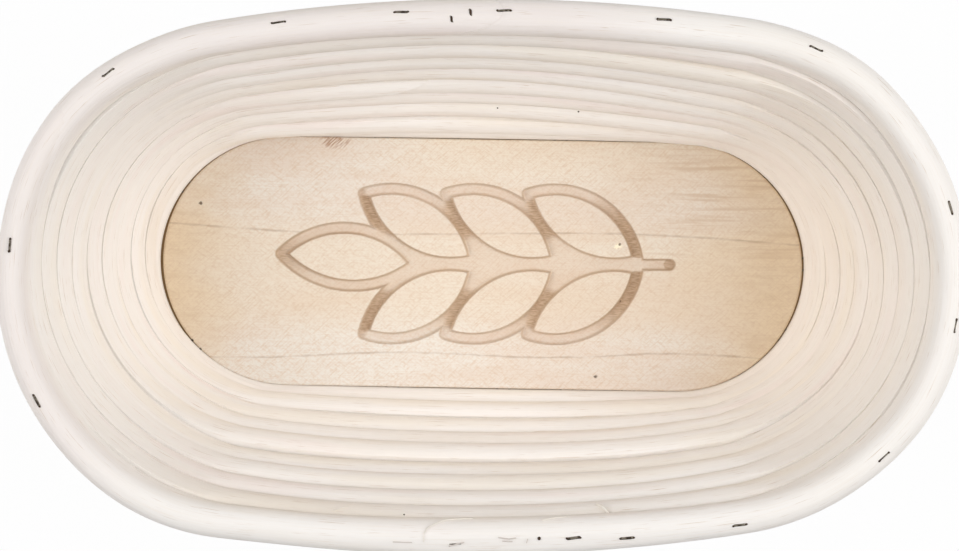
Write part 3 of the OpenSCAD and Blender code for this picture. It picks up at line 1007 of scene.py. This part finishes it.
def make_staples():
    wire = staple_wire("staple_wire")
    board_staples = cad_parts["board_staples"]
    board_staples.data.materials.clear()
    board_staples.data.materials.append(wire)
    rim = staples_on_cane("rim_wires", TURNS, RIM_STAPLES, STAPLE_W, 0.0)
    dress(rim, wire, "staple_wire", "rim_staples")
    splice = staples_on_cane("splice_wires", TURNS, SPLICE_STAPLES, SPLICE_W, SPLICE_TURNED)
    dress(splice, wire, "staple_wire", "splice_staples")
    # Those of each turn lie between those of the next one
    following = RIM_STAPLES[1:] + [RIM_STAPLES[0] + 1]
    between = [(share + after) / 2 % 1 for share, after in zip(RIM_STAPLES, following)]
    for turn in range(2, TURNS):
        shares = between if (TURNS - turn) % 2 else RIM_STAPLES
        covered = staples_on_cane(f"turn_{turn}_wires", turn, shares, STAPLE_W, 0.0)
        dress(covered, wire, "staple_wire", f"turn_{turn}_staples")


def make_holes():
    """Torn holes beside the rim's staple legs, and a few pin holes in the wall."""
    run = side_run(TURNS - 1)
    leg = (STAPLE_W - WIRE_T) / 2 / run
    spots = []
    for share in RIM_STAPLES:
        if share in SUNK_STAPLES:
            continue
        place = on_turn(TURNS, share)
        for end in (place - leg, place + leg):
            half_l = chance.uniform(*TORN_HALF_L) * MM
            spots.append((end, LEANING.get(share, 0.0), half_l, TORN_HALF_W))
    share, inwards = RIM_HOLE
    spots.append((on_turn(TURNS, share), inwards, 0.5 * MM, 0.55 * MM))
    for share in SPLICE_STAPLES:
        spots.append((on_turn(TURNS, share), LEANING[share], 0.4 * MM, 1 * MM))
    for turn, share, inwards in PIN_HOLES:
        spots.append((on_turn(turn, share), inwards, 0.28 * MM, 0.26 * MM))
    dress(pin_holes("staple_holes", spots), hole_shade("hole_shade"), "rattan")


def slivers(name, routes, light, dark):
    """Thin slivers of cane that lie on its surface: turn, route, width and lift of each."""
    points, faces = [], []
    for turn, route, width, lift in routes:
        route = [(on_turn(turn, share), turned) for share, turned in route]
        fibre(points, faces, route, width * MM, lift * MM)
    piece = mesh_object(name, points, faces)
    shader = Shader(name)
    tone = shader.noise(shader.object_place(), scale=400)
    dress(piece, shader.finish(Base_Color=shader.mix(tone, light, dark), Roughness=0.7), "rattan")


def make_fibres():
    """Loose fibres at the front, and grey slivers there whose grey is painted shade of frayed fibre
    ends and dents.
    """
    curl = [(0.4, -1.7), (0.4105, -1.5), (0.4145, -1.2), (0.418, -0.9)]
    curl += [(0.4195, -0.6), (0.4195, -0.15)]
    loose = (
        (TURNS, curl, 0.4, 0.4),
        (TURNS, [(0.3725, -1.35), (0.3675, -1.5), (0.3625, -1.6)], 0.5, 0.2),
        (TURNS - 1, [(0.3498, -1.4), (0.347, -0.95), (0.3438, -0.4)], 0.8, 0.9),
        (TURNS - 1, [(0.45, -1.3), (0.456, -0.9)], 0.3, 0.3),
    )
    slivers("loose_fibres", loose, srgb(250, 247, 242), srgb(236, 226, 212))
    # Grey slivers: painted shade of frayed fibre ends and dents on the rim's front
    scratch_shades = (
        (TURNS, [(0.383, -0.35), (0.386, -0.3), (0.39, -0.4)], 0.35, 0.05),
        (TURNS, [(0.3845, -0.15), (0.3885, -0.2)], 0.3, 0.05),
        (TURNS, [(0.3785, -0.3), (0.379, -0.05)], 0.3, 0.05),
        (TURNS, [(0.4035, -0.15), (0.4065, -0.05), (0.4095, 0.1)], 0.4, 0.05),
        (TURNS, [(0.424, -0.1), (0.4315, -0.1)], 0.3, 0.05),
    )
    slivers("scratch_shade_slivers", scratch_shades, srgb(206, 196, 190), srgb(226, 216, 208))


# Stage

def make_floor():
    """A white floor that keeps part of the object's shadow, and under the basket glows a painted
    dark brown: the shade in the gap round the board, warmed as by light bounced off the wood.
    """
    size = 4.0
    corners = [(-size, -size, 0), (size, -size, 0), (size, size, 0), (-size, size, 0)]
    floor = mesh_object("floor", corners, [(0, 1, 2, 3)])
    floor.location.z = -0.2 * MM
    shader = Shader("floor_white")
    shader.finish(Base_Color=(0.9, 0.9, 0.9, 1), Roughness=0.9)
    rays = shader.node("ShaderNodeLightPath")
    seen = shader.math("MAXIMUM", rays.outputs["Is Camera Ray"], rays.outputs["Is Glossy Ray"])
    seen = shader.math("MAXIMUM", seen, rays.outputs["Is Transmission Ray"])
    axes = shader.node("ShaderNodeSeparateXYZ", {0: shader.object_place()})
    spine = (BOARD_L - BOARD_W) / 2
    past_spine = shader.math("SUBTRACT", shader.size(axes.outputs["X"]), spine)
    across = shader.node(
        "ShaderNodeCombineXYZ", {0: shader.math("MAXIMUM", past_spine, 0.0), 1: axes.outputs["Y"]}
    )
    out = shader.node("ShaderNodeVectorMath", {0: across}, operation="LENGTH").outputs["Value"]
    # Painted shade: under the basket the floor shows dark brown, warmed as by light bounced off the
    # wood
    under = shader.ramp(out, BOARD_W / 2 + CANE_D * 0.8, BOARD_W / 2 + CANE_D * 0.3)
    tone = shader.mix(under, (1, 1, 1, 1), srgb(112, 86, 56))
    glow = shader.node("ShaderNodeEmission", {"Color": tone, "Strength": 1.0})
    share = shader.times(seen, 0.96)
    both = shader.node("ShaderNodeMixShader", {0: share, 1: shader.surface.outputs[0], 2: glow})
    shader.set(shader.tree.nodes["Material Output"].inputs["Surface"], both)
    floor.data.materials.append(shader.material)


# The lamps: azimuth, elevation and brightness
SOFTBOXES = {
    "softbox_left": (180, 45, 0.49),
    "softbox_right": (0, 45, 0.57),
    "softbox_back": (90, 52, 0.145),
    "softbox_front": (270, 52, 0.07),
}
LAMP_DISTANCE = 1.6
LAMP_SIZE = 0.9
WORLD_STRENGTH = 0.17


def make_light(name, azimuth, elevation, brightness):
    """A soft square lamp aimed at the basket. Brightness 1 makes a white face turned to it
    white."""
    lamp = bpy.data.lights.new(name, "AREA")
    lamp.shape = "SQUARE"
    lamp.size = LAMP_SIZE
    lamp.energy = brightness * (math.pi * LAMP_DISTANCE) ** 2
    light = bpy.data.objects.new(name, lamp)
    azimuth, elevation = math.radians(azimuth), math.radians(elevation)
    level = LAMP_DISTANCE * math.cos(elevation)
    height = LAMP_DISTANCE * math.sin(elevation)
    target = Vector((0, 0, basket_high[2] / 2))
    place = target + Vector((level * math.cos(azimuth), level * math.sin(azimuth), height))
    light.location = place
    light.rotation_euler = (target - place).to_track_quat("-Z", "Y").to_euler()
    bpy.context.scene.collection.objects.link(light)


def make_world(strength):
    world = bpy.data.worlds.new("studio")
    world.use_nodes = True
    background = world.node_tree.nodes["Background"]
    background.inputs["Color"].default_value = (1, 1, 1, 1)
    background.inputs["Strength"].default_value = strength
    bpy.context.scene.world = world


# The photograph's camera looks almost straight down, from a little behind the middle
IMAGE_W = 959
SENSOR_W = 36
FOCAL_PX = 3630
CAMERA_PLACE = (2.1 * MM, 55.6 * MM, 1141 * MM)
CAMERA_TARGET = (-0.75 * MM, 0.52 * MM, 84.8 * MM)
CAMERA_ROLL = math.radians(-0.35)


def make_camera():
    lens = bpy.data.cameras.new("camera")
    lens.sensor_fit = "HORIZONTAL"
    lens.sensor_width = SENSOR_W
    lens.lens = SENSOR_W * FOCAL_PX / IMAGE_W
    lens.clip_end = 20
    camera = bpy.data.objects.new("camera", lens)
    back = (Vector(CAMERA_PLACE) - Vector(CAMERA_TARGET)).normalized()
    up = Vector((-math.sin(CAMERA_ROLL), math.cos(CAMERA_ROLL), 0))
    right = up.cross(back).normalized()
    turn = Matrix((right, back.cross(right), back)).transposed().to_4x4()
    camera.matrix_world = Matrix.Translation(CAMERA_PLACE) @ turn
    bpy.context.scene.collection.objects.link(camera)
    bpy.context.scene.camera = camera


make_canes()
dress(carved_board("carved_board"), board_wood("board_wood"), "board_wood", "base_board")
make_staples()
make_holes()
make_fibres()

make_floor()
make_world(WORLD_STRENGTH)
for lamp_name, setting in SOFTBOXES.items():
    make_light(lamp_name, *setting)
make_camera()
bpy.context.scene.view_settings.view_transform = "Standard"
